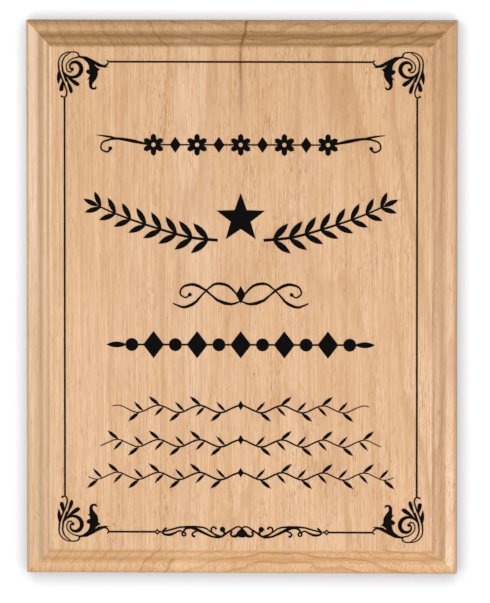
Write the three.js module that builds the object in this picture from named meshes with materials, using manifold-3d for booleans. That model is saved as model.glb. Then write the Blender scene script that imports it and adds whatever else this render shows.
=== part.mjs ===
// A wall plaque: a board of two edge-glued wooden staves with a routed moulding all round,
// black enamel decoration on its face, and a steel keyhole hanger let into its back.
// Millimetres. X runs across the plaque, Y from its front to its back, Z up.
// The origin is the centre of the back face, which lies against the wall.
import * as THREE from "three";
import { mergeVertices } from "three/addons/utils/BufferGeometryUtils.js";
import Module from "manifold-3d";

const wasm = await Module();
wasm.setup();

// ---- Driving dimensions ----

const INCH = 25.4;
const WIDTH = 7 * INCH;
const HEIGHT = 9 * INCH;
const THICKNESS = 0.75 * INCH;
const FACE_Y = -THICKNESS;

// The staves meet in a plain glued butt joint that runs the full height.
const GLUE_JOINT_X = -27.5;
const GLUE_LINE = 0.1;

// The moulding, from the edge inwards: an oval nosing down to a slight slope, then coves and
// rounds. Each of those is an arc of the given radius between two slopes, in degrees.
const NOSING = { width: 6, rise: 2.3, endSlope: 10 };
const MOULDING_ARCS = [
  { kind: "cove", radius: 3.6, from: 10, to: 60 },
  { kind: "round", radius: 4.6, from: 60, to: 24 },
  { kind: "cove", radius: 3.1, from: 24, to: 55 },
  { kind: "round", radius: 1.92, from: 55, to: 0 },
];
const ARC_STEPS = 5;

// The enamel decoration stands a little proud of the face.
const ENAMEL = 0.15;
const RULE_WIDTH = 0.72;
const MARKS_RISE = 0.5; // The decoration sits this far above the middle of the face.
const BORDER_X = 72.7;
const BORDER_Z = 97.2;
const TOP_RULE_END = 54.2;
const SIDE_RULE_END = 82.2;
const FOOT_X = 0.5;
const LOZENGE_X = 35;
const LOZENGE_SIZE = 1.25;
const LOZENGE_STUB = 0.35;

// The rows of ornament down the middle of the face: their heights and half-widths.
const UPPER_BAND = { z: 63, reach: 60 };
const LAUREL = { z: 32.6 };
const FLOURISH = { z: 0.9 };
const LOWER_BAND = { z: -19.6, reach: 55.5 };
const VINE = { wavelength: 17, amplitude: 1.5 };
const VINES = {
  upper: { z: -46.2, reach: 53 },
  middle: { z: -60.4, reach: 58 },
  lower: { z: -74, reach: 63 },
};

// The hanger: a stadium-shaped plate with a keyhole and two countersunk screws.
const PLATE = { width: 16, height: 44, thickness: 1.5, z: 80, sunk: 0.15 };
const KEYHOLE = { entryRadius: 4.75, slotRadius: 2.3, travel: 10 };
const PLATE_CLEARANCE = 0.3;
const KEYHOLE_POCKET = { radius: 6, depth: 9 };
const SCREW = { headRadius: 3.3, headHeight: 1.5, shankRadius: 1.5, length: 13, tip: 3 };
const SCREW_SPREAD = 17.5;
const SCREW_SIDES = 20;
const HANGER_ARC_STEPS = 8;
const PILOT_CLEARANCE = 0.25;

// ---- Materials ----

const finish = (color, roughness, metalness) =>
  new THREE.MeshStandardMaterial({ color, roughness, metalness });
const alder = finish(0xe3b88f, 0.45, 0);
const enamel = finish(0x0a0908, 0.5, 0);
const zincPlate = finish(0xb4b6b8, 0.35, 1);
const screwSteel = finish(0x9da0a3, 0.3, 1);

// ---- Solids ----

function solidOf(geometry) {
  const bare = geometry.clone();
  bare.deleteAttribute("normal");
  bare.deleteAttribute("uv");
  const merged = mergeVertices(bare, 1e-4);
  return new wasm.Manifold(
    new wasm.Mesh({
      numProp: 3,
      vertProperties: merged.attributes.position.array,
      triVerts: new Uint32Array(merged.index.array),
    }),
  );
}

function geometryOf(solid) {
  const { vertProperties, triVerts } = solid.getMesh();
  const geometry = new THREE.BufferGeometry();
  geometry.setAttribute("position", new THREE.BufferAttribute(vertProperties, 3));
  geometry.setIndex(new THREE.BufferAttribute(triVerts, 1));
  return geometry;
}

function extruded(shape, depth, curveSegments = 1) {
  return new THREE.ExtrudeGeometry(shape, { depth, bevelEnabled: false, curveSegments });
}

function box(low, high) {
  const size = high.map((value, i) => value - low[i]);
  return new THREE.BoxGeometry(...size).translate(...low.map((value, i) => value + size[i] / 2));
}

const plaque = new THREE.Group();

function addPiece(name, geometry, material) {
  const mesh = new THREE.Mesh(geometry, material);
  mesh.name = name;
  plaque.add(mesh);
  return mesh;
}

// ---- The board ----

const radians = THREE.MathUtils.degToRad;

// The moulding's outline as points (distance in from the edge, height above the nosing's foot).
function mouldingPoints() {
  const points = [];
  const { width, rise, endSlope } = NOSING;
  const nosingEnd = Math.atan(rise / (width * Math.tan(radians(endSlope))));
  for (let i = 0; i <= ARC_STEPS; i++) {
    const angle = nosingEnd * (i / ARC_STEPS);
    points.push([width * (1 - Math.cos(angle)), rise * Math.sin(angle)]);
  }
  for (const { kind, radius, from, to } of MOULDING_ARCS) {
    const [startX, startY] = points.at(-1);
    const side = kind === "cove" ? 1 : -1;
    for (let i = 1; i <= ARC_STEPS; i++) {
      const slope = radians(from + (to - from) * (i / ARC_STEPS));
      points.push([
        startX + side * radius * (Math.sin(slope) - Math.sin(radians(from))),
        startY + side * radius * (Math.cos(radians(from)) - Math.cos(slope)),
      ]);
    }
  }
  return points;
}

// The board's cross-section with the moulding at both ends: a flat back, and the face on top.
function boardSection(length) {
  const moulding = mouldingPoints();
  const foot = THICKNESS - moulding.at(-1)[1];
  const rightSide = moulding.map(([inset, rise]) => [length / 2 - inset, foot + rise]);
  const leftSide = rightSide.map(([x, y]) => [-x, y]).reverse();
  const outline = [[-length / 2, 0], [length / 2, 0], ...rightSide, ...leftSide];
  return new THREE.Shape(outline.map(([x, y]) => new THREE.Vector2(x, y)));
}

// Each section is swept the whole way across or up. What both sweeps share is the board,
// with the mitred corners that a router leaves.
function boardSolid() {
  const acrossToWorld = new THREE.Matrix4().makeBasis(
    new THREE.Vector3(1, 0, 0),
    new THREE.Vector3(0, -1, 0),
    new THREE.Vector3(0, 0, -1),
  );
  const uprightToWorld = new THREE.Matrix4().makeBasis(
    new THREE.Vector3(0, 0, 1),
    new THREE.Vector3(0, -1, 0),
    new THREE.Vector3(1, 0, 0),
  );
  const across = extruded(boardSection(WIDTH), HEIGHT).translate(0, 0, -HEIGHT / 2);
  const upright = extruded(boardSection(HEIGHT), WIDTH).translate(0, 0, -WIDTH / 2);
  return solidOf(across.applyMatrix4(acrossToWorld))
    .intersect(solidOf(upright.applyMatrix4(uprightToWorld)));
}

// A stadium standing upright, centred on the origin.
function stadium(radius, height) {
  const shape = new THREE.Shape();
  const straight = height / 2 - radius;
  shape.absarc(0, straight, radius, 0, Math.PI);
  shape.absarc(0, -straight, radius, Math.PI, 2 * Math.PI);
  return shape;
}

// A shape drawn in X and Z, as a solid between two depths behind or in front of the back face.
function sunkInBack(shape, nearY, farY, centreZ) {
  const slab = extruded(shape, farY - nearY, HANGER_ARC_STEPS);
  return solidOf(slab.rotateX(Math.PI / 2).translate(0, farY, centreZ));
}

function screwSolid(growth) {
  const { headRadius, headHeight, shankRadius, length, tip } = SCREW;
  const profile = [
    [0, -length - growth],
    [shankRadius + growth, -length + tip],
    [shankRadius + growth, -headHeight],
    [headRadius + growth, 0],
    [0, 0],
  ];
  const points = profile.map(([r, y]) => new THREE.Vector2(r, y));
  return solidOf(new THREE.LatheGeometry(points, SCREW_SIDES));
}

const screwPlaces = [PLATE.z + SCREW_SPREAD, PLATE.z - SCREW_SPREAD];
const screwTopY = -PLATE.sunk - 0.1;

function addStaves() {
  const board = boardSolid();
  const joint = (side) => GLUE_JOINT_X + (side * GLUE_LINE) / 2;
  const reach = [WIDTH, 2 * THICKNESS, HEIGHT];
  const leftOfJoint = box([-reach[0], -reach[1], -reach[2]], [joint(-1), reach[1], reach[2]]);
  const rightOfJoint = box([joint(1), -reach[1], -reach[2]], reach);

  const plateRecess = sunkInBack(
    stadium(PLATE.width / 2 + PLATE_CLEARANCE, PLATE.height + 2 * PLATE_CLEARANCE),
    -(PLATE.thickness + 2 * PLATE.sunk),
    1,
    PLATE.z,
  );
  const keyholePocket = sunkInBack(
    stadium(KEYHOLE_POCKET.radius, KEYHOLE.travel + 2 * KEYHOLE_POCKET.radius),
    -KEYHOLE_POCKET.depth,
    1,
    PLATE.z,
  );
  let right = board.intersect(solidOf(rightOfJoint)).subtract(plateRecess).subtract(keyholePocket);
  for (const z of screwPlaces) {
    right = right.subtract(screwSolid(PILOT_CLEARANCE).translate([0, screwTopY, z]));
  }
  addPiece("stave_left", geometryOf(board.intersect(solidOf(leftOfJoint))), alder);
  addPiece("stave_right", geometryOf(right), alder);
}

// ---- The hanger ----

function keyholeOutline() {
  const { entryRadius, slotRadius, travel } = KEYHOLE;
  const neck = Math.asin(slotRadius / entryRadius);
  const hole = new THREE.Path();
  hole.absarc(0, travel / 2, slotRadius, 0, Math.PI);
  hole.absarc(0, -travel / 2, entryRadius, Math.PI / 2 + neck, 2.5 * Math.PI - neck);
  return hole;
}

function addHanger() {
  const outline = stadium(PLATE.width / 2, PLATE.height);
  outline.holes.push(keyholeOutline());
  const farY = -PLATE.sunk;
  let plate = sunkInBack(outline, farY - PLATE.thickness, farY, PLATE.z);
  for (const z of screwPlaces) {
    plate = plate.subtract(screwSolid(PLATE_CLEARANCE).translate([0, screwTopY + 0.2, z]));
  }
  addPiece("hanger_plate", geometryOf(plate), zincPlate);

  const slot = solidOf(box([-1.8, -1, -0.3], [1.8, 1, 0.3]));
  const crossSlot = solidOf(box([-0.3, -1, -1.8], [0.3, 1, 1.8]));
  const screw = geometryOf(screwSolid(0).subtract(slot).subtract(crossSlot));
  ["hanger_screw_upper", "hanger_screw_lower"].forEach((name, i) => {
    addPiece(name, screw, screwSteel).position.set(0, screwTopY, screwPlaces[i]);
  });
}

// ---- Pen strokes and leaves, drawn in X and Z as flat shapes ----

const vector = ([x, y]) => new THREE.Vector2(x, y);

// Strokes are cut into steps that turn by no more than this, and are no longer than this.
const STEP_TURN = radians(14);
const STEP_LENGTH = 3;
const TRIAL_STEP = 0.3;

function heading(place, t) {
  const nudge = 1e-3;
  return place(Math.min(1, t + nudge)).sub(place(Math.max(0, t - nudge))).normalize();
}

// Where along a line, from 0 to 1, its steps end.
function stations(place, length) {
  const trials = Math.ceil(length / TRIAL_STEP);
  const kept = [0];
  let turned = 0;
  let travelled = 0;
  let last = heading(place, 0);
  for (let i = 1; i < trials; i++) {
    const next = heading(place, i / trials);
    turned += Math.abs(Math.asin(THREE.MathUtils.clamp(last.cross(next), -1, 1)));
    travelled += length / trials;
    last = next;
    if (turned > STEP_TURN || travelled > STEP_LENGTH) {
      kept.push(i / trials);
      turned = 0;
      travelled = 0;
    }
  }
  return [...kept, 1];
}

// A closed ribbon round a line. place(t) gives its points and widthAt(t) its width, t from 0 to 1.
function ribbon(place, widthAt, length) {
  const left = [];
  const right = [];
  for (const t of stations(place, length)) {
    const ahead = heading(place, t);
    const offset = new THREE.Vector2(-ahead.y, ahead.x).multiplyScalar(widthAt(t) / 2);
    left.push(place(t).add(offset));
    right.unshift(place(t).sub(offset));
  }
  return new THREE.Shape([...left, ...right]);
}

// The value at t on an even run of values, from the first at 0 to the last at 1.
function along(values, t) {
  const at = t * (values.length - 1);
  const i = Math.min(values.length - 2, Math.floor(at));
  return THREE.MathUtils.lerp(values[i], values[i + 1], at - i);
}

// A smooth pen stroke through points, its width running through widths.
function stroke(points, widths) {
  const line = new THREE.SplineCurve(points.map(vector));
  return ribbon((t) => line.getPointAt(t), (t) => along(widths, t), line.getLength());
}

// A shape-making function's results for the right and, mirrored, for the left.
function bothSides(shapesFor) {
  return [1, -1].flatMap((side) => shapesFor(side));
}

const mirrored = (points, side) => points.map(([x, y]) => [side * x, y]);

// A leaf from base to tip, its two edges bulging to the left and to the right.
function leaf(base, tip, bulgeLeft, bulgeRight) {
  const [from, to] = [vector(base), vector(tip)];
  const across = to.clone().sub(from).normalize();
  const control = (bulge) => [
    (from.x + to.x) / 2 - across.y * bulge,
    (from.y + to.y) / 2 + across.x * bulge,
  ];
  const shape = new THREE.Shape();
  shape.moveTo(...base);
  shape.quadraticCurveTo(...control(bulgeLeft), ...tip);
  shape.quadraticCurveTo(...control(-bulgeRight), ...base);
  return shape;
}

// A leaf with a narrow base and a round end, its edges bulging to the left and to the right.
function lobe(base, tip, bulgeLeft, bulgeRight) {
  const [from, to] = [vector(base), vector(tip)];
  const ahead = to.clone().sub(from);
  const across = new THREE.Vector2(-ahead.y, ahead.x).normalize();
  const edge = (bulge) => [
    from.clone().addScaledVector(ahead, 0.5).addScaledVector(across, bulge / 2),
    to.clone().addScaledVector(across, bulge),
  ];
  const [waistLeft, shoulderLeft] = edge(bulgeLeft);
  const [waistRight, shoulderRight] = edge(-bulgeRight);
  const shape = new THREE.Shape();
  shape.moveTo(...base);
  shape.bezierCurveTo(waistLeft.x, waistLeft.y, shoulderLeft.x, shoulderLeft.y, ...tip);
  shape.bezierCurveTo(shoulderRight.x, shoulderRight.y, waistRight.x, waistRight.y, ...base);
  return shape;
}

function ball(x, y, radius) {
  return new THREE.Shape().absarc(x, y, radius, 0, 2 * Math.PI);
}

function ring(x, y, radius, holeRadius) {
  const shape = ball(x, y, radius);
  shape.holes.push(ball(x, y, holeRadius));
  return shape;
}

function bar(left, bottom, width, height) {
  const corners = [[0, 0], [width, 0], [width, height], [0, height]];
  return new THREE.Shape(corners.map(([x, y]) => new THREE.Vector2(left + x, bottom + y)));
}

function lozenge(x, y, halfWidth, halfHeight) {
  const corners = [[-halfWidth, 0], [0, -halfHeight], [halfWidth, 0], [0, halfHeight]];
  return new THREE.Shape(corners.map(([dx, dy]) => new THREE.Vector2(x + dx, y + dy)));
}

// One enamel piece on the face: the union of its shapes, at (x, z), flipped where asked.
function addEnamel(name, shapes, x, z, flipX = 1, flipZ = 1, curveSegments = 5) {
  const parts = shapes.map((shape) => solidOf(extruded(shape, ENAMEL, curveSegments)));
  const piece = addPiece(name, geometryOf(wasm.Manifold.union(parts)), enamel);
  piece.rotation.x = Math.PI / 2;
  piece.position.set(x, FACE_Y, z + MARKS_RISE);
  piece.scale.set(flipX, flipZ, 1);
}

// ---- The border ----

// A spiral about (x, y) whose radius and angle run evenly from start to end, in degrees.
function spiral(x, y, [r0, r1], [a0, a1], widths) {
  const place = (t) => {
    const angle = radians(a0 + (a1 - a0) * t);
    const radius = r0 + (r1 - r0) * t;
    return new THREE.Vector2(x + radius * Math.cos(angle), y + radius * Math.sin(angle));
  };
  const length = (radians(Math.abs(a1 - a0)) * (r0 + r1)) / 2;
  return ribbon(place, (t) => along(widths, t), length);
}

// The lobed leaf that hangs from the corner scroll's arm: a control point and an end for each edge.
function acanthusLeaf() {
  const leafShape = new THREE.Shape();
  leafShape.moveTo(8.2, 1.6);
  const edges = [
    [11.6, 1.2, 12.4, -1.0],
    [13.1, -2.6, 14.8, -3.0],
    [14.0, -3.6, 13.7, -4.1],
    [14.1, -6.0, 12.4, -8.0],
    [11.1, -9.3, 11.5, -10.4],
    [12.1, -11.3, 13.1, -10.1],
    [13.6, -11.5, 12.1, -11.6],
    [10.1, -11.5, 10.1, -9.3],
    [10.1, -8.3, 10.2, -7.3],
    [9.8, -7.2, 9.2, -7.5],
    [10.4, -6.4, 10.5, -5.4],
    [9.0, -4.9, 8.9, -4.0],
    [9.2, -3.1, 10.2, -3.3],
    [10.6, -0.6, 7.6, 1.1],
  ];
  for (const edge of edges) leafShape.quadraticCurveTo(...edge);
  return leafShape;
}

// The corner scroll, drawn for the top left. Its origin is where the border's two rules would cross.
function cornerScroll() {
  const outerStem = [
    [6.1, 2.2], [5.5, 3.5], [4.0, 4.0], [1.3, 3.9], [-0.9, 2.8], [-2.2, 0.9], [-2.5, -1.6],
    [-2.1, -4.2], [-1.1, -7.0], [0.1, -9.7], [0.9, -12.0], [0.8, -13.9], [-0.1, -14.7], [-1.3, -14.2],
  ];
  const innerStem = [[2.6, 3.9], [0.3, 2.2], [-0.9, -0.2], [-0.9, -2.8], [-0.2, -5.4], [1.1, -8.2]];
  const tendril = [[6.6, 2.1], [3.4, 1.3], [1.2, -0.5], [0.7, -2.5], [1.5, -4.1], [3.0, -4.2]];
  const arm = [[5.6, 2.1], [8.6, 1.6], [11.6, 0.2], [14.2, -1.4], [16.4, -1.8], [17.7, -1.0], [18.2, 0.1]];
  return [
    stroke(outerStem, [0.65, 0.5, 0.45, 0.5, 0.6, 0.75, 0.7, 0.65, 0.6, 0.6]),
    stroke(innerStem, [0.4, 0.55, 0.65, 0.9, 1.2]),
    stroke(tendril, [0.65, 0.45, 0.45, 0.6]),
    stroke(arm, [0.6, 1.4, 1.1, 1.2, 1.5, 0.8, 0.5]),
    stroke([[17.5, 0.8], [17.8, 0.3], [18.4, 0.0]], [0.45, 0.6]),
    spiral(3.8, -2.5, [4.5, 1.0], [205, 600], [0.6, 1.2, 1.75, 1.55, 1.0, 0.7, 0.6]),
    ball(3.2, -3.2, 0.75),
    ball(-1.15, -14.3, 0.45),
    leaf([14.0, -1.2], [18.3, -2.1], -0.4, 1.5),
    lobe([0.5, -5.8], [6.2, -9.7], 1.2, 1.9),
    lobe([0.6, -6.6], [2.7, -13.2], 2.0, 0.6),
    leaf([-2.2, -3.2], [-2.6, -9.4], 1.5, 1.4),
    lobe([-0.6, -7.2], [-1.6, -12.3], 1.7, 1.3),
    acanthusLeaf(),
  ];
}

// One side of the foot ornament, from the middle out to the lozenge: side is 1 for the right
// and -1 for the left.
function footScroll(side) {
  const wave = [
    [-0.8, 0.6], [0.4, 1.9], [2, 2.2], [4.6, 0.8], [7.2, -1.2], [9.6, -2.2], [12.7, -1.8],
    [15.7, -0.4], [18.7, 1.1], [21.1, 1.8], [23.4, 1.3], [24.3, -0.3],
  ];
  const upper = [
    [8.8, -1.7], [12.1, -0.5], [14.5, 1.3], [17, 2.1], [20.5, 2.2], [24.7, 2.1], [27.6, 1.5],
    [30.4, 0.6], [32.9, 0],
  ];
  const lower = [
    [24.3, -0.2], [25.9, 0.5], [27.6, -0.4], [29.8, -1.2], [31.8, -1.1], [32.9, -0.1], [31.5, 1.5],
  ];
  const strokes = [
    [wave, [0.6, 0.6, 0.8, 0.9, 0.7, 1, 1.3, 1, 0.7]],
    [upper, [0.5, 0.55, 0.7, 0.75, 0.7, 0.7, 0.6]],
    [lower, [0.6, 0.7, 1.1, 0.8, 0.7]],
    [[[17.8, 0.7], [19.9, -0.1], [20.6, -1.2], [19.8, -1.9]], [0.65, 0.7, 0.75]],
    [[[9.8, -2.1], [12.4, -0.1], [12.6, 1.5], [11.6, 2.1], [10.8, 1.6]], [0.65, 0.65, 0.7]],
    [[[8.8, -2.1], [7.2, -0.9], [7.7, 0.6]], [0.6, 0.9, 0.9]],
  ];
  return [
    ...strokes.map(([points, widths]) => stroke(mirrored(points, side), widths)),
    ball(side * 8, 1.1, 1.15),
    ball(side * 10.8, 1.5, 0.5),
    ball(side * 19.7, -1.8, 0.5),
    ball(side * 31.5, 1.4, 0.5),
    ring(side * 24, -0.9, 1.1, 0.4),
  ];
}

// One side of the bell-shaped mark in the middle of the foot ornament, with its turned-up curl.
function footBell(side) {
  const bell = new THREE.Shape();
  bell.moveTo(0, 1.3);
  bell.quadraticCurveTo(side * 1.3, 1, side * 2, -0.2);
  bell.quadraticCurveTo(side * 2.5, -1.2, side * 3.5, -1.3);
  bell.lineTo(side * 3.4, -2.2);
  bell.quadraticCurveTo(side * 2.1, -2.4, side * 1.6, -1.8);
  bell.quadraticCurveTo(side, -2.3, -side * 0.2, -2.2);
  bell.lineTo(-side * 0.2, 1.3);
  const curl = [[3, -1.8], [4, -1.7], [4.6, -0.9], [4.3, 0]];
  return [bell, stroke(mirrored(curl, side), [0.9, 0.8]), ball(side * 4.25, 0, 0.45)];
}

function addBorder() {
  const corners = { top_left: [-1, 1], top_right: [1, 1], bottom_left: [-1, -1], bottom_right: [1, -1] };
  for (const [place, [sideX, sideZ]] of Object.entries(corners)) {
    addEnamel(`corner_scroll_${place}`, cornerScroll(), sideX * BORDER_X, sideZ * BORDER_Z, -sideX, sideZ);
  }
  const across = (from, to) => bar(from, -RULE_WIDTH / 2, to - from, RULE_WIDTH);
  const upright = bar(-RULE_WIDTH / 2, -SIDE_RULE_END, RULE_WIDTH, 2 * SIDE_RULE_END);
  addEnamel("border_rule_top", [across(-TOP_RULE_END, TOP_RULE_END)], 0, BORDER_Z);
  addEnamel("border_rule_left", [upright], -BORDER_X, 0);
  addEnamel("border_rule_right", [upright], BORDER_X, 0);
  for (const [side, flip] of [["left", -1], ["right", 1]]) {
    const middle = LOZENGE_X + flip * FOOT_X;
    const openLozenge = lozenge(middle, 0, LOZENGE_SIZE, LOZENGE_SIZE);
    openLozenge.holes.push(lozenge(middle, 0, LOZENGE_SIZE / 2.5, LOZENGE_SIZE / 2.5));
    const rule = across(middle + LOZENGE_SIZE * 0.7, TOP_RULE_END);
    const stub = across(middle - LOZENGE_SIZE - LOZENGE_STUB, middle - LOZENGE_SIZE * 0.7);
    addEnamel(`border_rule_bottom_${side}`, [rule, openLozenge, stub], 0, -BORDER_Z, flip);
  }
  addEnamel("foot_ornament", [...bothSides(footScroll), ...bothSides(footBell)], FOOT_X, -BORDER_Z);
}

// ---- The ornaments down the middle ----

// A flower whose petals meet in sharp notches.
function rosette(x, y, radius, petals) {
  const pointsPerPetal = 4;
  const outline = [];
  for (let i = 0; i < petals * pointsPerPetal; i++) {
    const angle = (2 * Math.PI * i) / (petals * pointsPerPetal);
    const reach = radius * (0.5 + 0.5 * Math.abs(Math.cos((petals * angle) / 2)));
    outline.push(new THREE.Vector2(x + reach * Math.sin(angle), y + reach * Math.cos(angle)));
  }
  const flower = new THREE.Shape(outline);
  flower.holes.push(ball(x, y, radius / 5));
  return flower;
}

function star(radius, notchRadius, points) {
  const outline = [];
  for (let i = 0; i < 2 * points; i++) {
    const angle = (Math.PI * i) / points;
    const reach = i % 2 ? notchRadius : radius;
    outline.push(new THREE.Vector2(reach * Math.sin(angle), reach * Math.cos(angle)));
  }
  return new THREE.Shape(outline);
}

// Five flowers with lozenges between them, joined by short bars, with a curl at each end.
function upperBand() {
  const pitch = 9;
  const curl = [
    [37.6, 0], [46.5, 1.9], [52, 2.5], [56.8, 1.1], [57.6, -1.7], [55.2, -3], [53.4, -1.4],
  ];
  const shapes = [];
  for (let i = -4; i < 4; i++) shapes.push(bar(i * pitch + 2, -0.3, pitch - 4, 0.6));
  for (let i = -4; i <= 4; i++) {
    shapes.push(i % 2 ? lozenge(i * pitch, 0, 2.3, 3.3) : rosette(i * pitch, 0, 4.6, 6));
  }
  const ends = bothSides((side) => [
    stroke(mirrored(curl, side), [0.6, 1.5, 0.9, 0.6, 0.8]),
    ball(side * 53.8, -1.5, 0.8),
    leaf([side * 49, 2.2], [side * UPPER_BAND.reach, 4], side * 1.2, side * 0.4),
  ]);
  return [...shapes, ...ends];
}

// Lozenges and beads in turn on a thin line, with a leaf at each end.
function lowerBand() {
  const pitch = 9;
  const lineEnd = 5 * pitch + 2;
  const shapes = [bar(-lineEnd, -0.35, 2 * lineEnd, 0.7)];
  for (let i = -5; i <= 5; i++) {
    shapes.push(i % 2 ? ball(i * pitch, 0, 2.7) : lozenge(i * pitch, 0, 4.3, 5.6));
  }
  const ends = bothSides((side) => [leaf([side * lineEnd, 0], [side * LOWER_BAND.reach, 0], 2.4, 2.4)]);
  return [...shapes, ...ends];
}

// One laurel spray, drawn for the right: pairs of leaves up a stem, and one at its tip.
function laurelSpray() {
  const pairs = 8;
  const stem = new THREE.SplineCurve([[9.5, -9], [22, -7.6], [38, -3], [51, 1.6], [60, 5.6]].map(vector));
  const shapes = [stroke(stem.points.map((p) => [p.x, p.y]), [1.2, 0.6])];
  const addLeaf = (t, turn) => {
    const base = stem.getPointAt(t);
    const length = THREE.MathUtils.lerp(9.5, 7, t);
    const way = heading((at) => stem.getPointAt(at), t).rotateAround(new THREE.Vector2(), turn);
    const tip = base.clone().addScaledVector(way, length);
    shapes.push(leaf([base.x, base.y], [tip.x, tip.y], length / 3.4, length / 3.4));
  };
  for (let i = 0; i < pairs; i++) {
    const t = 0.07 + (0.88 * i) / (pairs - 1);
    addLeaf(t, radians(42));
    addLeaf(t, radians(-42));
  }
  addLeaf(0.97, 0);
  return shapes;
}

// A pen flourish: two crossing swashes on each side of a lozenge.
function flourish() {
  const swash = [
    [0, -2.4], [4, -3.7], [9.4, -2.2], [14.4, 2], [19.4, 4.4], [23.8, 3.4], [25, 0.6],
    [22.8, -1], [20.8, 0.4],
  ];
  const counter = [[1.6, 0.4], [5.4, 4], [10.6, 4.6], [15, 1.2], [19, -3.2], [23.6, -5], [28, -3.4]];
  const sides = bothSides((side) => [
    stroke(mirrored(swash, side), [0.5, 1.4, 0.7, 1.3, 0.7, 0.6]),
    stroke(mirrored(counter, side), [0.7, 1.2, 0.5, 1.3, 0.5]),
    ball(side * 21, 0.2, 0.8),
  ]);
  return [lozenge(0, 0.2, 2, 3.6), ...sides];
}

// A waving stem with a pair of leaves at each crest and trough, and a lozenge in the middle.
function vine(reach) {
  const { wavelength, amplitude } = VINE;
  const half = wavelength / 2;
  const wave = (x) => amplitude * Math.cos((2 * Math.PI * x) / wavelength);
  const place = (t) => {
    const x = reach * (2 * t - 1);
    return new THREE.Vector2(x, wave(x));
  };
  const tapering = (t) => 0.35 + 0.35 * Math.sin(Math.PI * t);
  const shapes = [ribbon(place, tapering, 2 * reach), lozenge(0, amplitude, 1.2, 2)];
  for (let i = 1; i * half < reach - 3; i++) {
    const x = i * half;
    const up = i % 2 ? -1 : 1;
    const pair = bothSides((side) => {
      const outward = up * side;
      return [
        leaf([side * (x - 0.6), up * amplitude], [side * (x + 4), up * 5.2], outward * 1.4, outward * 1.7),
        leaf([side * (x - 2.4), up * 1.1], [side * (x + 1.6), -up * 3], -outward, -outward * 1.4),
      ];
    });
    shapes.push(...pair);
  }
  return shapes;
}

function addOrnaments() {
  addEnamel("upper_band", upperBand(), 0, UPPER_BAND.z);
  addEnamel("laurel_left", laurelSpray(), 0, LAUREL.z, -1);
  addEnamel("laurel_right", laurelSpray(), 0, LAUREL.z);
  addEnamel("award_star", [star(10.5, 4.3, 5)], 0, LAUREL.z);
  addEnamel("flourish", flourish(), 0, FLOURISH.z);
  addEnamel("lower_band", lowerBand(), 0, LOWER_BAND.z, 1, 1, 6);
  for (const [place, { z, reach }] of Object.entries(VINES)) {
    addEnamel(`vine_${place}`, vine(reach), 0, z, 1, 1, 3);
  }
}

addStaves();
addHanger();
addBorder();
addOrnaments();

export default plaque;
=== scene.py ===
# The looks of a wall plaque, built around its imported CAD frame: an alder board glued up from two
# staves, black enamel decoration, and a zinc-plated keyhole hanger in its back. Metres, +Z up,
# front towards -Y. Sizes given in millimetres are multiplied by MM.
import math

import bmesh
import bpy
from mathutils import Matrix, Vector


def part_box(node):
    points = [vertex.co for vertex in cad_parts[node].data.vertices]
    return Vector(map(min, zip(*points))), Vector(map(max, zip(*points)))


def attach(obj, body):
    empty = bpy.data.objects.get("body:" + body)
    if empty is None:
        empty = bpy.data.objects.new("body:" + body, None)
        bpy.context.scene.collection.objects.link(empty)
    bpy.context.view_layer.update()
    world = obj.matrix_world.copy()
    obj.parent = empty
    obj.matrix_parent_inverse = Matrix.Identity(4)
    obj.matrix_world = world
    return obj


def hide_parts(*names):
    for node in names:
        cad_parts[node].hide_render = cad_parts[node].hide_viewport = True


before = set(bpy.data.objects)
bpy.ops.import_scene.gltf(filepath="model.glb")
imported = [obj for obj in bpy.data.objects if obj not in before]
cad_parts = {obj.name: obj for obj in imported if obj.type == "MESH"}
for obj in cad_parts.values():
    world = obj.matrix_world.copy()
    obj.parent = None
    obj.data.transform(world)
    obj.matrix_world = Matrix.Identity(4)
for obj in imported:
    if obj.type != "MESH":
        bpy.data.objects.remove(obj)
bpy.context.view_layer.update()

MM = 0.001

# ---- Sizes, from the frame where it has them ----

BOARD_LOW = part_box("stave_left")[0]
BOARD_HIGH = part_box("stave_right")[1]
WIDTH = BOARD_HIGH.x - BOARD_LOW.x
HEIGHT = BOARD_HIGH.z - BOARD_LOW.z
THICKNESS = -BOARD_LOW.y
GLUE_JOINT_X = (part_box("stave_left")[1].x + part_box("stave_right")[0].x) / 2

PLATE_LOW, PLATE_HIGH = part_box("hanger_plate")
PLATE_Z = (PLATE_LOW.z + PLATE_HIGH.z) / 2
PLATE_WIDTH = PLATE_HIGH.x - PLATE_LOW.x
PLATE_HEIGHT = PLATE_HIGH.z - PLATE_LOW.z
PLATE_CLEARANCE = 0.3 * MM
PLATE_BEDDING = 0.15 * MM
PLATE_EASING = 0.12 * MM

# The moulding: an oval nosing down to a slight slope in degrees, then coves and rounds, each an
# arc between two slopes.
NOSING_WIDTH = 6.0 * MM
NOSING_RISE = 2.3 * MM
NOSING_END_SLOPE = 10
MOULDING_ARCS = (
    ("cove", 3.6 * MM, 10, 60),
    ("round", 4.6 * MM, 60, 24),
    ("cove", 3.1 * MM, 24, 55),
    ("round", 1.92 * MM, 55, 0),
)
ARC_STEPS = 12
ARRIS_RADIUS = 0.5 * MM
ARRIS_STEPS = 4

KEYHOLE_ENTRY_RADIUS = 4.75 * MM
KEYHOLE_SLOT_RADIUS = 2.3 * MM
KEYHOLE_TRAVEL = 10 * MM
POCKET_RADIUS = 6 * MM
POCKET_DEPTH = 9 * MM

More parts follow.
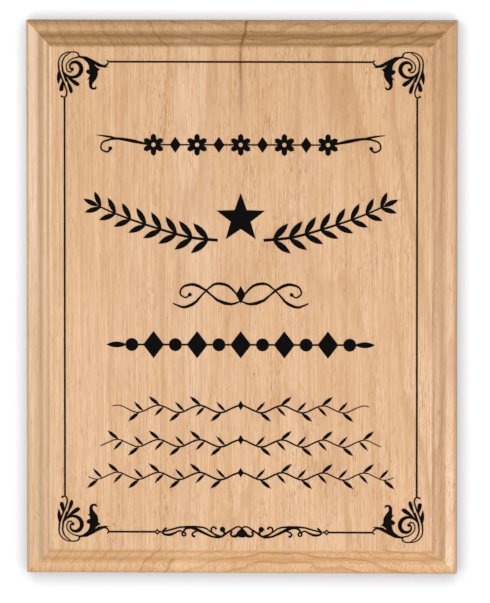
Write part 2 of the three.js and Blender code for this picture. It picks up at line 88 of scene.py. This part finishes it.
SCREW_NECK_RADIUS = 1.5 * MM
SCREW_HEAD_HEIGHT = 1.5 * MM
SCREW_HEAD_EDGE = 0.12 * MM
SCREW_TIP = 3 * MM
SCREW_POINT_RADIUS = 0.05 * MM
SCREW_CLEARANCE = 0.25 * MM
NECK_CLEARANCE = 0.2 * MM
THREAD_PITCH = 1.2 * MM
THREAD_HEIGHT = 0.35 * MM
RECESS_REACH = 1.75 * MM
RECESS_WIDTH = 0.62 * MM
RECESS_DEPTH = 1.1 * MM

ROUND_SIDES = 96
SCREW_SIDES = 48
STEPS_A_TURN = 8

# Cutting shapes stand this far out past the surface that they cut.
CUT_PAST = 1 * MM


# ---- Mesh code ----


def crease(piece, degrees=30):
    """Shades the piece smooth, apart from edges sharper than the given angle."""
    piece.data.shade_smooth()
    piece.data.set_sharp_from_angle(angle=math.radians(degrees))


def finished(mesh_maker, name):
    """A bmesh as an object, with outward faces, and smooth apart from its creases."""
    bmesh.ops.recalc_face_normals(mesh_maker, faces=mesh_maker.faces)
    mesh = bpy.data.meshes.new(name)
    mesh_maker.to_mesh(mesh)
    mesh_maker.free()
    piece = bpy.data.objects.new(name, mesh)
    crease(piece)
    bpy.context.scene.collection.objects.link(piece)
    return piece


def skinned(rings):
    """A closed bmesh skinned over rings of points, the first and the last filled in."""
    mesh_maker = bmesh.new()
    made = [[mesh_maker.verts.new(point) for point in ring] for ring in rings]
    for near, far in zip(made, made[1:]):
        for i in range(len(near)):
            following = (i + 1) % len(near)
            mesh_maker.faces.new((near[i], near[following], far[following], far[i]))
    mesh_maker.faces.new(reversed(made[0]))
    mesh_maker.faces.new(made[-1])
    return mesh_maker


def applied(piece):
    """Applies the piece's modifiers to its mesh."""
    evaluated = piece.evaluated_get(bpy.context.evaluated_depsgraph_get())
    mesh = bpy.data.meshes.new_from_object(evaluated)
    piece.modifiers.clear()
    old = piece.data
    piece.data = mesh
    bpy.data.meshes.remove(old)
    mesh.name = piece.name


def cut(piece, rings):
    """Cuts the shape skinned over rings out of the piece."""
    cutter = finished(skinned(rings), "cutter")
    boolean = piece.modifiers.new("cut", "BOOLEAN")
    boolean.operation = "DIFFERENCE"
    boolean.solver = "EXACT"
    boolean.object = cutter
    applied(piece)
    bpy.data.objects.remove(cutter)


def arc(centre, radius, start, end, steps):
    """Points (x, z) along an arc, angles in degrees, both ends included."""
    points = []
    for i in range(steps + 1):
        angle = math.radians(start + (end - start) * i / steps)
        points.append((centre[0] + radius * math.cos(angle), centre[1] + radius * math.sin(angle)))
    return points


def stadium(radius, height, centre_z):
    """An upright slot with round ends, as points (x, z)."""
    straight = height / 2 - radius
    half = ROUND_SIDES // 2
    top = arc((0, centre_z + straight), radius, 0, 180, half)
    bottom = arc((0, centre_z - straight), radius, 180, 360, half)
    return top + bottom


def circle(radius, centre_z):
    return arc((0, centre_z), radius, 0, 360, ROUND_SIDES)[:-1]


def prism(outline, near_y, far_y):
    """Rings for skinned(): the outline, drawn in X and Z, at two depths."""
    return [[(x, y, z) for x, z in outline] for y in (near_y, far_y)]


# ---- The board ----


def moulding():
    """The moulding as points (distance in from the edge, height above the nosing's foot)."""
    points = []
    nosing_end = math.atan(NOSING_RISE / (NOSING_WIDTH * math.tan(math.radians(NOSING_END_SLOPE))))
    for i in range(ARC_STEPS + 1):
        angle = nosing_end * i / ARC_STEPS
        points.append((NOSING_WIDTH * (1 - math.cos(angle)), NOSING_RISE * math.sin(angle)))
    for kind, radius, start, end in MOULDING_ARCS:
        first = math.radians(start)
        inset, rise = points[-1]
        side = 1 if kind == "cove" else -1
        for i in range(1, ARC_STEPS + 1):
            slope = math.radians(start + (end - start) * i / ARC_STEPS)
            points.append((
                inset + side * radius * (math.sin(slope) - math.sin(first)),
                rise + side * radius * (math.cos(first) - math.cos(slope)),
            ))
    return points


def board_edge():
    """The board's edge from its back to its face, as points (distance in from the edge, y)."""
    arris = arc((ARRIS_RADIUS, -ARRIS_RADIUS), ARRIS_RADIUS, 90, 180, ARRIS_STEPS)
    rises = moulding()
    foot_y = rises[-1][1] - THICKNESS
    return arris + [(inset, foot_y - rise) for inset, rise in rises]


def stave(name, side):
    """The part of the board on one side of the glue joint: -1 is left of it, 1 right of it."""
    rings = []
    for inset, y in board_edge():
        x = WIDTH / 2 - inset
        z = HEIGHT / 2 - inset
        rings.append([(-x, y, -z), (x, y, -z), (x, y, z), (-x, y, z)])
    mesh_maker = skinned(rings)
    bmesh.ops.bisect_plane(
        mesh_maker,
        geom=mesh_maker.verts[:] + mesh_maker.edges[:] + mesh_maker.faces[:],
        plane_co=(GLUE_JOINT_X, 0, 0),
        plane_no=(-side, 0, 0),
        clear_outer=True,
    )
    open_edges = [edge for edge in mesh_maker.edges if edge.is_boundary]
    bmesh.ops.edgeloop_fill(mesh_maker, edges=open_edges)
    return finished(mesh_maker, name)


def crease_mitres(piece):
    """Keeps the moulding's mitres crisp where its two runs meet at a shallow angle."""
    mesh = piece.data

    def on_mitre(vertex):
        across = WIDTH / 2 - abs(vertex.co.x)
        up = HEIGHT / 2 - abs(vertex.co.z)
        return abs(across - up) < 1e-6

    for edge in mesh.edges:
        if all(on_mitre(mesh.vertices[i]) for i in edge.vertices):
            edge.use_edge_sharp = True


def screw_places():
    return [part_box(node) for node in ("hanger_screw_upper", "hanger_screw_lower")]


def cut_hanger_seat(piece):
    """Cuts the plate's recess, the pocket behind its keyhole and the two pilot holes."""
    recess = stadium(
        PLATE_WIDTH / 2 + PLATE_CLEARANCE, PLATE_HEIGHT + 2 * PLATE_CLEARANCE, PLATE_Z
    )
    cut(piece, prism(recess, PLATE_LOW.y - PLATE_BEDDING, CUT_PAST))
    pocket = stadium(POCKET_RADIUS, KEYHOLE_TRAVEL + 2 * POCKET_RADIUS, PLATE_Z)
    cut(piece, prism(pocket, -POCKET_DEPTH, CUT_PAST))
    for low, high in screw_places():
        pilot = circle(SCREW_NECK_RADIUS + SCREW_CLEARANCE, (low.z + high.z) / 2)
        cut(piece, prism(pilot, low.y - SCREW_CLEARANCE, 0))


def make_staves():
    left = stave("board_stave_left", -1)
    right = stave("board_stave_right", 1)
    cut_hanger_seat(right)
    for piece in (left, right):
        crease(piece)
        crease_mitres(piece)
    return left, right


# ---- The hanger ----


def keyhole():
    neck = math.degrees(math.asin(KEYHOLE_SLOT_RADIUS / KEYHOLE_ENTRY_RADIUS))
    slot_z = PLATE_Z + KEYHOLE_TRAVEL / 2
    entry_z = PLATE_Z - KEYHOLE_TRAVEL / 2
    slot = arc((0, slot_z), KEYHOLE_SLOT_RADIUS, 0, 180, ROUND_SIDES // 2)
    entry = arc((0, entry_z), KEYHOLE_ENTRY_RADIUS, 90 + neck, 450 - neck, ROUND_SIDES)
    return slot + entry


def countersink(low, high):
    """Rings for a countersunk hole in the plate, opening past its face at the head's slope."""
    centre_z = (low.z + high.z) / 2
    head = (high.x - low.x) / 2 + SCREW_CLEARANCE
    neck = SCREW_NECK_RADIUS + NECK_CLEARANCE
    slope = (head - neck) / SCREW_HEAD_HEIGHT
    past = CUT_PAST / 2
    rings = []
    for radius, y in (
        (neck, PLATE_LOW.y - CUT_PAST),
        (neck, high.y - SCREW_HEAD_HEIGHT),
        (head, high.y),
        (head + slope * past, high.y + past),
    ):
        rings.append([(x, y, z) for x, z in circle(radius, centre_z)])
    return rings


def make_hanger_plate():
    outline = stadium(PLATE_WIDTH / 2, PLATE_HEIGHT, PLATE_Z)
    plate = finished(skinned(prism(outline, PLATE_LOW.y, PLATE_HIGH.y)), "keyhole_hanger_plate")
    cut(plate, prism(keyhole(), PLATE_LOW.y - CUT_PAST, PLATE_HIGH.y + CUT_PAST))
    for low, high in screw_places():
        cut(plate, countersink(low, high))
    bevel = plate.modifiers.new("eased_edges", "BEVEL")
    bevel.width = PLATE_EASING
    bevel.segments = 2
    bevel.limit_method = "ANGLE"
    bevel.angle_limit = math.radians(40)
    applied(plate)
    crease(plate, 40)
    return plate


def ramped(value, stops):
    """The value at a place on straight lines between stops (place, value)."""
    for (start, low), (end, high) in zip(stops, stops[1:]):
        if value <= end:
            return low + (high - low) * (value - start) / (end - start)
    return stops[-1][1]


def screw_profiles(head_radius, length):
    """The body's radius and the thread's height, each as stops (depth from the head, value)."""
    body = (
        (0, head_radius - SCREW_HEAD_EDGE),
        (SCREW_HEAD_EDGE, head_radius),
        (SCREW_HEAD_HEIGHT, SCREW_NECK_RADIUS),
        (length - SCREW_TIP, SCREW_NECK_RADIUS - THREAD_HEIGHT),
        (length, SCREW_POINT_RADIUS),
    )
    thread = (
        (0, 0),
        (SCREW_HEAD_HEIGHT + MM, 0),
        (SCREW_HEAD_HEIGHT + 2 * MM, THREAD_HEIGHT),
        (length - SCREW_TIP, THREAD_HEIGHT),
        (length, 0),
    )
    return body, thread


def screw_depths(length):
    """Depths from the head at which the screw's rings lie, evenly spaced along its shank."""
    shank = length - SCREW_HEAD_HEIGHT
    steps = math.ceil(shank / THREAD_PITCH) * STEPS_A_TURN
    depths = [0, SCREW_HEAD_EDGE / 2, SCREW_HEAD_EDGE, SCREW_HEAD_HEIGHT]
    for i in range(1, steps + 1):
        depths.append(SCREW_HEAD_HEIGHT + shank * i / steps)
    return depths


def make_screw(name, low, high):
    """A countersunk wood screw, its head at the back of the plaque and its thread in the wood."""
    length = high.y - low.y
    centre_z = (low.z + high.z) / 2
    body, thread = screw_profiles((high.x - low.x) / 2, length)
    rings = []
    for depth in screw_depths(length):
        ring = []
        for i in range(SCREW_SIDES):
            phase = (depth / THREAD_PITCH + i / SCREW_SIDES) % 1
            ridge = max(0, 1 - 3 * abs(2 * phase - 1)) * ramped(depth, thread)
            radius = ramped(depth, body) + ridge
            angle = 2 * math.pi * i / SCREW_SIDES
            ring.append((
                radius * math.cos(angle), high.y - depth, centre_z + radius * math.sin(angle)
            ))
        rings.append(ring)
    screw = finished(skinned(rings), name)
    cut(screw, [recess_ring(high.y + 0.2 * MM, centre_z, 1.1),
                recess_ring(high.y, centre_z, 1),
                recess_ring(high.y - RECESS_DEPTH, centre_z, 0.45)])
    crease(screw, 35)
    return screw


def recess_ring(y, centre_z, share):
    """The cross-shaped drive recess at one depth, its arms drawn in to a share of their reach."""
    half = RECESS_WIDTH / 2
    reach = RECESS_REACH * share
    ring = []
    for quarter in range(4):
        angle = quarter * math.pi / 2
        across = Vector((math.cos(angle), math.sin(angle)))
        along = Vector((-across.y, across.x))
        for point in (across * reach - along * half, across * reach + along * half,
                      across * half + along * half):
            ring.append((point.x, y, centre_z + point.y))
    return ring


# ---- Materials ----


class Shader:
    """A node material, with short ways to add nodes to it. Its textures are measured in mm."""

    def __init__(self, name):
        self.material = bpy.data.materials.new(name)
        self.material.use_nodes = True
        self.tree = self.material.node_tree
        self.surface = self.tree.nodes["Principled BSDF"]
        self.coordinates = self.node("ShaderNodeTexCoord")
        self.place = self.vector("SCALE", self.coordinates.outputs["Object"], scale=1 / MM)

    def node(self, kind, **settings):
        made = self.tree.nodes.new(kind)
        for name, value in settings.items():
            setattr(made, name, value)
        return made

    def feed(self, socket, value):
        """Links a node's output to a socket, or sets the socket to a plain value."""
        if isinstance(value, bpy.types.NodeSocket):
            self.tree.links.new(value, socket)
        else:
            socket.default_value = value

    def set(self, **values):
        """Sets inputs of the surface shader, with _ for each space in their names."""
        for name, value in values.items():
            self.feed(self.surface.inputs[name.replace("_", " ")], value)

    def math(self, operation, *values, clamp=False):
        made = self.node("ShaderNodeMath", operation=operation, use_clamp=clamp)
        for socket, value in zip(made.inputs, values):
            self.feed(socket, value)
        return made.outputs[0]

    def vector(self, operation, *values, scale=None):
        made = self.node("ShaderNodeVectorMath", operation=operation)
        for socket, value in zip(made.inputs, values):
            self.feed(socket, value)
        if scale is not None:
            made.inputs["Scale"].default_value = scale
        return made.outputs[0]

    def axes(self, vector):
        made = self.node("ShaderNodeSeparateXYZ")
        self.feed(made.inputs[0], vector)
        return made.outputs[:3]

    def noise(self, cell, detail=2.0, roughness=0.5, shift=0.0):
        """Cloudy noise from 0 to 1, its cells of the given size in mm along X, Y and Z."""
        share = tuple(1 / size for size in cell)
        place = self.vector("MULTIPLY_ADD", self.place, share, (shift, shift, shift))
        made = self.node("ShaderNodeTexNoise")
        self.feed(made.inputs["Vector"], place)
        made.inputs["Scale"].default_value = 1
        made.inputs["Detail"].default_value = detail
        made.inputs["Roughness"].default_value = roughness
        return made.outputs[0]

    def line_noise(self, value, detail=0.0, roughness=0.5):
        """Noise from 0 to 1 along one value, one cell a unit."""
        made = self.node("ShaderNodeTexNoise", noise_dimensions="1D")
        self.feed(made.inputs["W"], value)
        made.inputs["Scale"].default_value = 1
        made.inputs["Detail"].default_value = detail
        made.inputs["Roughness"].default_value = roughness
        return made.outputs[0]

    def range(self, value, from_low, from_high, to_low=0.0, to_high=1.0, smooth=False):
        made = self.node("ShaderNodeMapRange")
        if smooth:
            made.interpolation_type = "SMOOTHSTEP"
        for socket, given in zip(made.inputs, (value, from_low, from_high, to_low, to_high)):
            self.feed(socket, given)
        return made.outputs[0]

    def mix(self, share, first, second, blend="MIX"):
        made = self.node("ShaderNodeMix", data_type="RGBA", blend_type=blend)
        self.feed(made.inputs[0], share)
        self.feed(made.inputs[6], first)
        self.feed(made.inputs[7], second)
        return made.outputs[2]

    def bump(self, height, distance):
        """Raises the surface by up to distance where height is 1."""
        made = self.node("ShaderNodeBump")
        made.inputs["Strength"].default_value = 1
        made.inputs["Distance"].default_value = distance
        self.feed(made.inputs["Height"], height)
        self.set(Normal=made.outputs[0])


def colour(red, green, blue):
    """An sRGB colour, each part from 0 to 255, as the linear colour that a socket takes."""
    linear = []
    for part in (red, green, blue):
        value = part / 255
        linear.append(value / 12.92 if value <= 0.04045 else ((value + 0.055) / 1.055) ** 2.4)
    return (*linear, 1)


PINK_ALDER = colour(246, 204, 164)
GOLDEN_ALDER = colour(244, 200, 153)
PALE_ALDER = colour(255, 217, 181)
DEEP_ALDER = colour(208, 153, 99)
LATE_WOOD = colour(187, 129, 75)
FIBRE_BROWN = colour(163, 98, 48)
LEFT_END_GRAIN = (0.90, 0.83, 0.65, 1)
RIGHT_END_GRAIN = (0.93, 0.87, 0.69, 1)
GUM = colour(140, 70, 28)
WHITE = (1, 1, 1, 1)


def growth_rings(shader, pith, lean, spacing):
    """Rings round the tree's pith: (count of rings out from it, place within the ring 0 to 1)."""
    x, y, z = shader.axes(shader.place)
    across = shader.math("SUBTRACT", x, shader.math("MULTIPLY_ADD", z, lean[0], pith[0]))
    deep = shader.math("SUBTRACT", y, shader.math("MULTIPLY_ADD", z, lean[1], pith[1]))
    radius = shader.math(
        "SQRT",
        shader.math("ADD", shader.math("MULTIPLY", across, across),
                    shader.math("MULTIPLY", deep, deep)),
    )
    sway = shader.range(shader.noise((26, 26, 150), detail=1), 0, 1, -3.2, 3.2)
    ripple = shader.range(shader.noise((4, 4, 45), detail=2, shift=7), 0, 1, -0.6, 0.6)
    radius = shader.math("ADD", radius, shader.math("ADD", sway, ripple))
    count = shader.math("DIVIDE", radius, spacing)
    return count, shader.math("FRACT", count)


def gum_streak(shader):
    """How strongly a thread of gum shows, 0 to 1: a thin sheet in the wood near the middle,
    slanting back to the right, strong at the top edge and lost a quarter of the way down.
    Near the face the wood on both sides of it is stained."""
    x, y, z = shader.axes(shader.place)
    depth = shader.math("ADD", y, THICKNESS / MM)
    wander = shader.range(shader.noise((1e6, 1e6, 30), detail=1, shift=3), 0, 1, -0.8, 0.8)
    line = shader.math("MULTIPLY_ADD", depth, 0.3, wander)
    off = shader.math("ABSOLUTE", shader.math("SUBTRACT", x, line))
    thread = shader.range(off, 0.15, 0.95, 0.75, 0, smooth=True)
    stain = shader.math("MULTIPLY", shader.range(off, 0.3, 1.8, 0.3, 0, smooth=True),
                        shader.range(depth, 0, 2.5, 1, 0))
    thread = shader.math("MAXIMUM", thread, stain)
    near_top = shader.range(z, 62, 92, 0, 1, smooth=True)
    patchy = shader.range(shader.noise((2, 2, 5), detail=2), 0.35, 0.6, 0.6, 1)
    return shader.math("MULTIPLY", thread, shader.math("MULTIPLY", near_top, patchy))


def pale_by_joint(shader, x):
    """How pale the wood beside the glue joint is, 0 to 1, out to a slightly wandering line."""
    wander = shader.range(shader.noise((5, 5, 90), detail=1, shift=17), 0, 1, -2, 2)
    return shader.range(shader.math("ADD", x, wander), -15, -11, 0.6, 0, smooth=True)


def late_wood(shader, share, band, across_grain, figured):
    """How dark the late wood at the end of each ring is, strongest where the grain is cut across."""
    late = shader.math(
        "MULTIPLY",
        shader.range(share, 0.7, 0.95, smooth=True),
        shader.range(share, 0.95, 1.0, 1, 0, smooth=True),
    )
    late = shader.math("MULTIPLY", late, shader.range(band, 0.35, 0.65, 0.3, 1))
    late = shader.math("MULTIPLY", late, shader.range(across_grain, 0, 1, 0.42, 0.9))
    return shader.math("MULTIPLY", late, figured)


def vessels(shader, figured):
    """The open vessels of the wood, crowded in clouds, as (short flecks, fainter dashes)."""
    dash = shader.noise((0.42, 0.42, 3.2), detail=2, roughness=0.6, shift=13)
    vessel = shader.noise((0.4, 0.4, 3.0), detail=1, roughness=0.5, shift=19)
    crowded = shader.range(shader.noise((6, 6, 30), detail=2, shift=41), 0.42, 0.62, 0.25, 1)
    crowded = shader.math("MULTIPLY", crowded, figured)
    flecks = shader.math("MULTIPLY", shader.range(vessel, 0.6, 0.72, smooth=True), crowded)
    dashes = shader.math("MULTIPLY", shader.range(dash, 0.5, 0.68), crowded)
    return flecks, dashes


def alder(name, pith, lean, spacing, plain_x, figured_x, end_grain, right_stave=False):
    """Satin-lacquered red alder, its figure set in the solid wood so that it runs on over edges.
    pith is the tree's centre line as (x, y) in mm, and lean how it moves for each mm of height.
    The figure gets stronger from plain_x to figured_x, and towards both ends of the stave.
    end_grain tints the surfaces that cut across the grain."""
    shader = Shader(name)
    x, _, z = shader.axes(shader.place)
    figured = shader.math(
        "MULTIPLY",
        shader.range(x, plain_x, figured_x, 0.75, 1.2),
        shader.range(shader.math("ABSOLUTE", z), 10, 90, 0.72, 1.1),
    )
    normal_z = shader.axes(shader.coordinates.outputs["Normal"])[2]
    across_grain = shader.range(shader.math("ABSOLUTE", normal_z), 0.02, 0.55, smooth=True)

    count, share = growth_rings(shader, pith, lean, spacing)
    band = shader.line_noise(count, detail=1.5)
    late = late_wood(shader, share, band, across_grain, figured)
    flecks, dashes = vessels(shader, figured)
    drift = shader.noise((18, 18, 110), detail=2, shift=31)
    cloud = shader.noise((7, 7, 60), detail=2, roughness=0.55)
    line = shader.noise((1.3, 1.3, 120), detail=1, shift=23)
    strand = shader.noise((0.5, 0.5, 26), detail=2, roughness=0.6, shift=5)
    fine = shader.noise((0.24, 0.24, 4.5), detail=1, roughness=0.6, shift=11)

    # Besides the wood's own random drift of tone, the colour is painted more golden towards the top:
    # painted shade for the top getting less of the whitish light.
    golden_and_top_shade = shader.math("ADD", shader.range(drift, 0.35, 0.65, 0, 0.7),
                         shader.range(z, 0, 90, 0, 0.4), clamp=True)
    body = shader.mix(golden_and_top_shade, PINK_ALDER, GOLDEN_ALDER)
    if right_stave:
        body = shader.mix(pale_by_joint(shader, x), body, PALE_ALDER)
    for amount, tone in (
        # Painted shade: the wood is made darker towards the top, where less light falls on it.
        (shader.range(z, 30, 95, 0, 0.13), DEEP_ALDER),
        (shader.range(band, 0.3, 0.7, 0, 0.2), DEEP_ALDER),
        (shader.range(cloud, 0.35, 0.65, 0.22, 0), DEEP_ALDER),
        (late, LATE_WOOD),
        (shader.range(line, 0.52, 0.68, 0, 0.36), DEEP_ALDER),
        (shader.range(strand, 0.42, 0.66, 0, 0.5), DEEP_ALDER),
        (shader.math("MULTIPLY", dashes, 0.38), LATE_WOOD),
        (shader.range(fine, 0.45, 0.7, 0, 0.33), LATE_WOOD),
        (shader.math("MULTIPLY", flecks, 0.6), FIBRE_BROWN),
    ):
        body = shader.mix(amount, body, tone)
    body = shader.mix(across_grain, body, shader.mix(1, body, end_grain, "MULTIPLY"))
    if right_stave:
        body = shader.mix(gum_streak(shader), body, GUM)

    open_grain = shader.math("ADD", shader.math("MULTIPLY", flecks, 0.8), fine)
    shader.set(
        Base_Color=body,
        Roughness=shader.range(open_grain, 0.3, 1.3, 0.34, 0.5),
        IOR=1.5,
        Coat_Weight=1.0,
        Coat_Roughness=0.18,
        Coat_IOR=1.5,
    )
    shader.bump(shader.math("SUBTRACT", 1, open_grain), 0.012 * MM)
    return shader.material


def enamel():
    """Flat black enamel, screened on to the lacquer, so that the grain shows faintly through."""
    shader = Shader("black_enamel")
    grain = shader.noise((0.3, 0.3, 7), detail=3, roughness=0.6)
    patch = shader.noise((3, 3, 3), detail=3)
    black = shader.mix(patch, colour(4, 3, 3), colour(10, 9, 8))
    pinholes = shader.range(shader.noise((0.12, 0.12, 0.2), detail=1), 0.74, 0.8, smooth=True)
    shader.set(
        Base_Color=shader.mix(pinholes, black, colour(52, 40, 32)),
        Roughness=shader.range(grain, 0.3, 0.7, 0.48, 0.66),
        IOR=1.46,
        Specular_IOR_Level=0.06,
    )
    shader.bump(grain, 0.01 * MM)
    return shader.material


def zinc(name, pale, dull, brushing):
    """Bright zinc plating: brushed, faintly clouded, and rubbed darker in fine scratches."""
    shader = Shader(name)
    lines = shader.noise(brushing, detail=3, roughness=0.65)
    clouds = shader.noise((5, 5, 5), detail=4, roughness=0.6, shift=2)
    scratches = shader.noise((0.5, 3, 0.09), detail=1, shift=23)
    worn = shader.range(scratches, 0.68, 0.78, smooth=True)
    metal = shader.mix(shader.range(clouds, 0.35, 0.65), pale, dull)
    metal = shader.mix(shader.math("MULTIPLY", worn, 0.5), metal, colour(120, 118, 114))
    shader.set(
        Base_Color=metal,
        Metallic=1.0,
        Roughness=shader.math("ADD", shader.range(lines, 0.3, 0.7, 0.24, 0.36),
                              shader.range(clouds, 0.4, 0.7, 0, 0.12)),
    )
    shader.bump(shader.math("SUBTRACT", lines, worn), 0.006 * MM)
    return shader.material


def dress(piece, material):
    """Puts one material on the whole of a piece or CAD node."""
    if not piece.material_slots:
        piece.data.materials.append(material)
    for slot in piece.material_slots:
        slot.material = material


# ---- The studio ----

WALL_GAP = 0.4 * MM
WALL_REACH = 0.5
FLOOR_DROP = 0.3
FLOOR_REACH = 8


def plain_material(name, shade, glow):
    """A matt studio surface with a faint mottle, which also gives off a little light."""
    shader = Shader(name)
    mottle = shader.noise((90, 90, 90), detail=3)
    dimmer = tuple(part * 0.985 for part in shade)
    tint = shader.mix(mottle, (*shade, 1), (*dimmer, 1))
    shader.set(
        Base_Color=tint,
        Roughness=0.9,
        Emission_Color=WHITE,
        Emission_Strength=glow,
    )
    return shader


def sheet(name, corners):
    mesh = bpy.data.meshes.new(name)
    mesh.from_pydata(corners, [], [tuple(range(len(corners)))])
    made = bpy.data.objects.new(name, mesh)
    bpy.context.scene.collection.objects.link(made)
    made.visible_diffuse = False
    made.visible_glossy = False
    made.visible_shadow = False
    return made


def clear_from_behind(shader):
    """Makes the shader's surface see-through on its back."""
    clear = shader.node("ShaderNodeBsdfTransparent")
    either = shader.node("ShaderNodeMixShader")
    geometry = shader.node("ShaderNodeNewGeometry")
    shader.feed(either.inputs[0], geometry.outputs["Backfacing"])
    shader.feed(either.inputs[1], shader.surface.outputs[0])
    shader.feed(either.inputs[2], clear.outputs[0])
    shader.feed(shader.tree.nodes["Material Output"].inputs["Surface"], either.outputs[0])


def make_backdrop():
    """A white wall just behind the plaque, clear from behind, and a pale floor below it."""
    floor_z = BOARD_LOW.z - FLOOR_DROP
    wall = sheet("wall", [(-WALL_REACH, WALL_GAP, floor_z), (WALL_REACH, WALL_GAP, floor_z),
                          (WALL_REACH, WALL_GAP, WALL_REACH), (-WALL_REACH, WALL_GAP, WALL_REACH)])
    wall_white = plain_material("wall_white", (0.5, 0.51, 0.525), 0.0)
    clear_from_behind(wall_white)
    dress(wall, wall_white.material)
    reach = FLOOR_REACH
    floor = sheet("floor", [(-reach, -reach, floor_z), (reach, -reach, floor_z),
                            (reach, reach, floor_z), (-reach, reach, floor_z)])
    dress(floor, plain_material("floor_white", (0.85, 0.85, 0.85), 0.35).material)
    return wall


def softbox(name, place, width, height, radiance, tint=(1, 1, 1)):
    """A rectangular soft light that faces the plaque, with the same brightness all over."""
    light = bpy.data.lights.new(name, "AREA")
    light.shape = "RECTANGLE"
    light.size = width
    light.size_y = height
    light.energy = radiance * math.pi * width * height
    light.color = tint
    made = bpy.data.objects.new(name, light)
    made.location = place
    made.rotation_mode = "QUATERNION"
    made.rotation_quaternion = (-made.location).to_track_quat("-Z", "Y")
    made.visible_camera = False
    bpy.context.scene.collection.objects.link(made)
    return made


def smooth_fade(tree, value, start, end, first, last):
    """A world node that goes smoothly from first to last as value goes from start to end."""
    fade = tree.nodes.new("ShaderNodeMapRange")
    fade.interpolation_type = "SMOOTHSTEP"
    tree.links.new(value, fade.inputs["Value"])
    fade.inputs["From Min"].default_value = start
    fade.inputs["From Max"].default_value = end
    fade.inputs["To Min"].default_value = first
    fade.inputs["To Max"].default_value = last
    return fade.outputs[0]


def make_world():
    """A white studio in front, bright from the floor up to eye level and dim overhead and behind."""
    world = bpy.data.worlds.new("studio")
    world.use_nodes = True
    bpy.context.scene.world = world
    tree = world.node_tree
    coordinates = tree.nodes.new("ShaderNodeTexCoord")
    axes = tree.nodes.new("ShaderNodeSeparateXYZ")
    tree.links.new(coordinates.outputs["Generated"], axes.inputs[0])
    by_height = smooth_fade(tree, axes.outputs["Z"], -0.2, 0.4, 0.64, 0.2)
    by_depth = smooth_fade(tree, axes.outputs["Y"], -0.5, 0.5, 1.12, 0.45)
    both = tree.nodes.new("ShaderNodeMath")
    both.operation = "MULTIPLY"
    tree.links.new(by_height, both.inputs[0])
    tree.links.new(by_depth, both.inputs[1])
    background = tree.nodes["Background"]
    tree.links.new(both.outputs[0], background.inputs["Strength"])
    background.inputs["Color"].default_value = WHITE


def make_lights(wall):
    """A softbox high on the left and a near one low on the right light the plaque. The wall has a
    broad light of its own, so that the plaque casts a short soft shadow on it all round."""
    for_wall = bpy.data.collections.new("wall_lit")
    for_wall.objects.link(wall)
    not_for_wall = bpy.data.collections.new("wall_unlit")
    not_for_wall.objects.link(wall)
    not_for_wall.collection_objects[0].light_linking.link_state = "EXCLUDE"

    for light in (
        softbox("left_softbox", (-0.98, -1.0, 0.4), 1.1, 1.0, 3.1, (0.78, 0.9, 1)),
        softbox("right_softbox", (0.64, -0.93, -0.53), 0.7, 0.85, 3.6, (1, 0.97, 0.93)),
    ):
        light.light_linking.receiver_collection = not_for_wall
    wall_light = softbox("wall_light", (0, -1.2, 0.17), 1.35, 1.35, 6.15)
    wall_light.light_linking.receiver_collection = for_wall
    softbox("back_light", (0.7, 1.3, 1.3), 1.2, 1.2, 6.5)
    make_world()


CAMERA_DISTANCE = 4.0
CAMERA_RISE = math.radians(4)
CAMERA_SWING = math.radians(2.5)
FRAME_HEIGHT = 249.5 * MM
FRAME_SHIFT = (1.2 * MM, 2.08 * MM)
AIM_DEPTH = 6 * MM
SENSOR = 36.0


def make_camera():
    """Nearly square on to the face, from a little above and to the right. The lens is long enough
    to keep the plaque's edges parallel."""
    camera = bpy.data.cameras.new("camera")
    camera.sensor_width = SENSOR
    camera.lens = SENSOR * CAMERA_DISTANCE / FRAME_HEIGHT
    camera.clip_end = 100
    camera.shift_x = FRAME_SHIFT[0] / FRAME_HEIGHT
    camera.shift_y = -FRAME_SHIFT[1] / FRAME_HEIGHT
    made = bpy.data.objects.new("camera", camera)
    back = Vector((
        math.sin(CAMERA_SWING) * math.cos(CAMERA_RISE),
        -math.cos(CAMERA_SWING) * math.cos(CAMERA_RISE),
        math.sin(CAMERA_RISE),
    ))
    made.location = Vector((0, -AIM_DEPTH, 0)) + back * CAMERA_DISTANCE
    made.rotation_mode = "QUATERNION"
    made.rotation_quaternion = (-back).to_track_quat("-Z", "Y")
    bpy.context.scene.collection.objects.link(made)
    bpy.context.scene.camera = made


# ---- Building ----


def make_plaque():
    left, right = make_staves()
    dress(left, alder(
        "alder_left", pith=(32, 77), lean=(0.004, 0.01), spacing=3.3,
        plain_x=-64, figured_x=-34, end_grain=LEFT_END_GRAIN,
    ))
    dress(right, alder(
        "alder_right", pith=(20, 190), lean=(-0.01, 0.03), spacing=3.4,
        plain_x=-16, figured_x=4, end_grain=RIGHT_END_GRAIN, right_stave=True,
    ))
    plate = make_hanger_plate()
    dress(plate, zinc("zinc_plate", colour(205, 208, 212), colour(176, 180, 186), (0.08, 2, 9)))
    screws = []
    screw_zinc = zinc("screw_zinc", colour(196, 198, 200), colour(158, 160, 163), (0.3, 0.05, 0.3))
    for name, (low, high) in zip(("hanger_screw_top", "hanger_screw_bottom"), screw_places()):
        screws.append(make_screw(name, low, high))
        dress(screws[-1], screw_zinc)

    for piece, node, slot in (
        (left, "stave_left", "alder"),
        (right, "stave_right", "alder"),
        (plate, "hanger_plate", "zinc_plate"),
        (screws[0], "hanger_screw_upper", "screw_steel"),
        (screws[1], "hanger_screw_lower", "screw_steel"),
    ):
        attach(piece, "root")
        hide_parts(node)

    black = enamel()
    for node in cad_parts.values():
        if not node.hide_render:
            dress(node, black)


make_plaque()
make_lights(make_backdrop())
make_camera()
bpy.context.scene.view_settings.view_transform = "Standard"
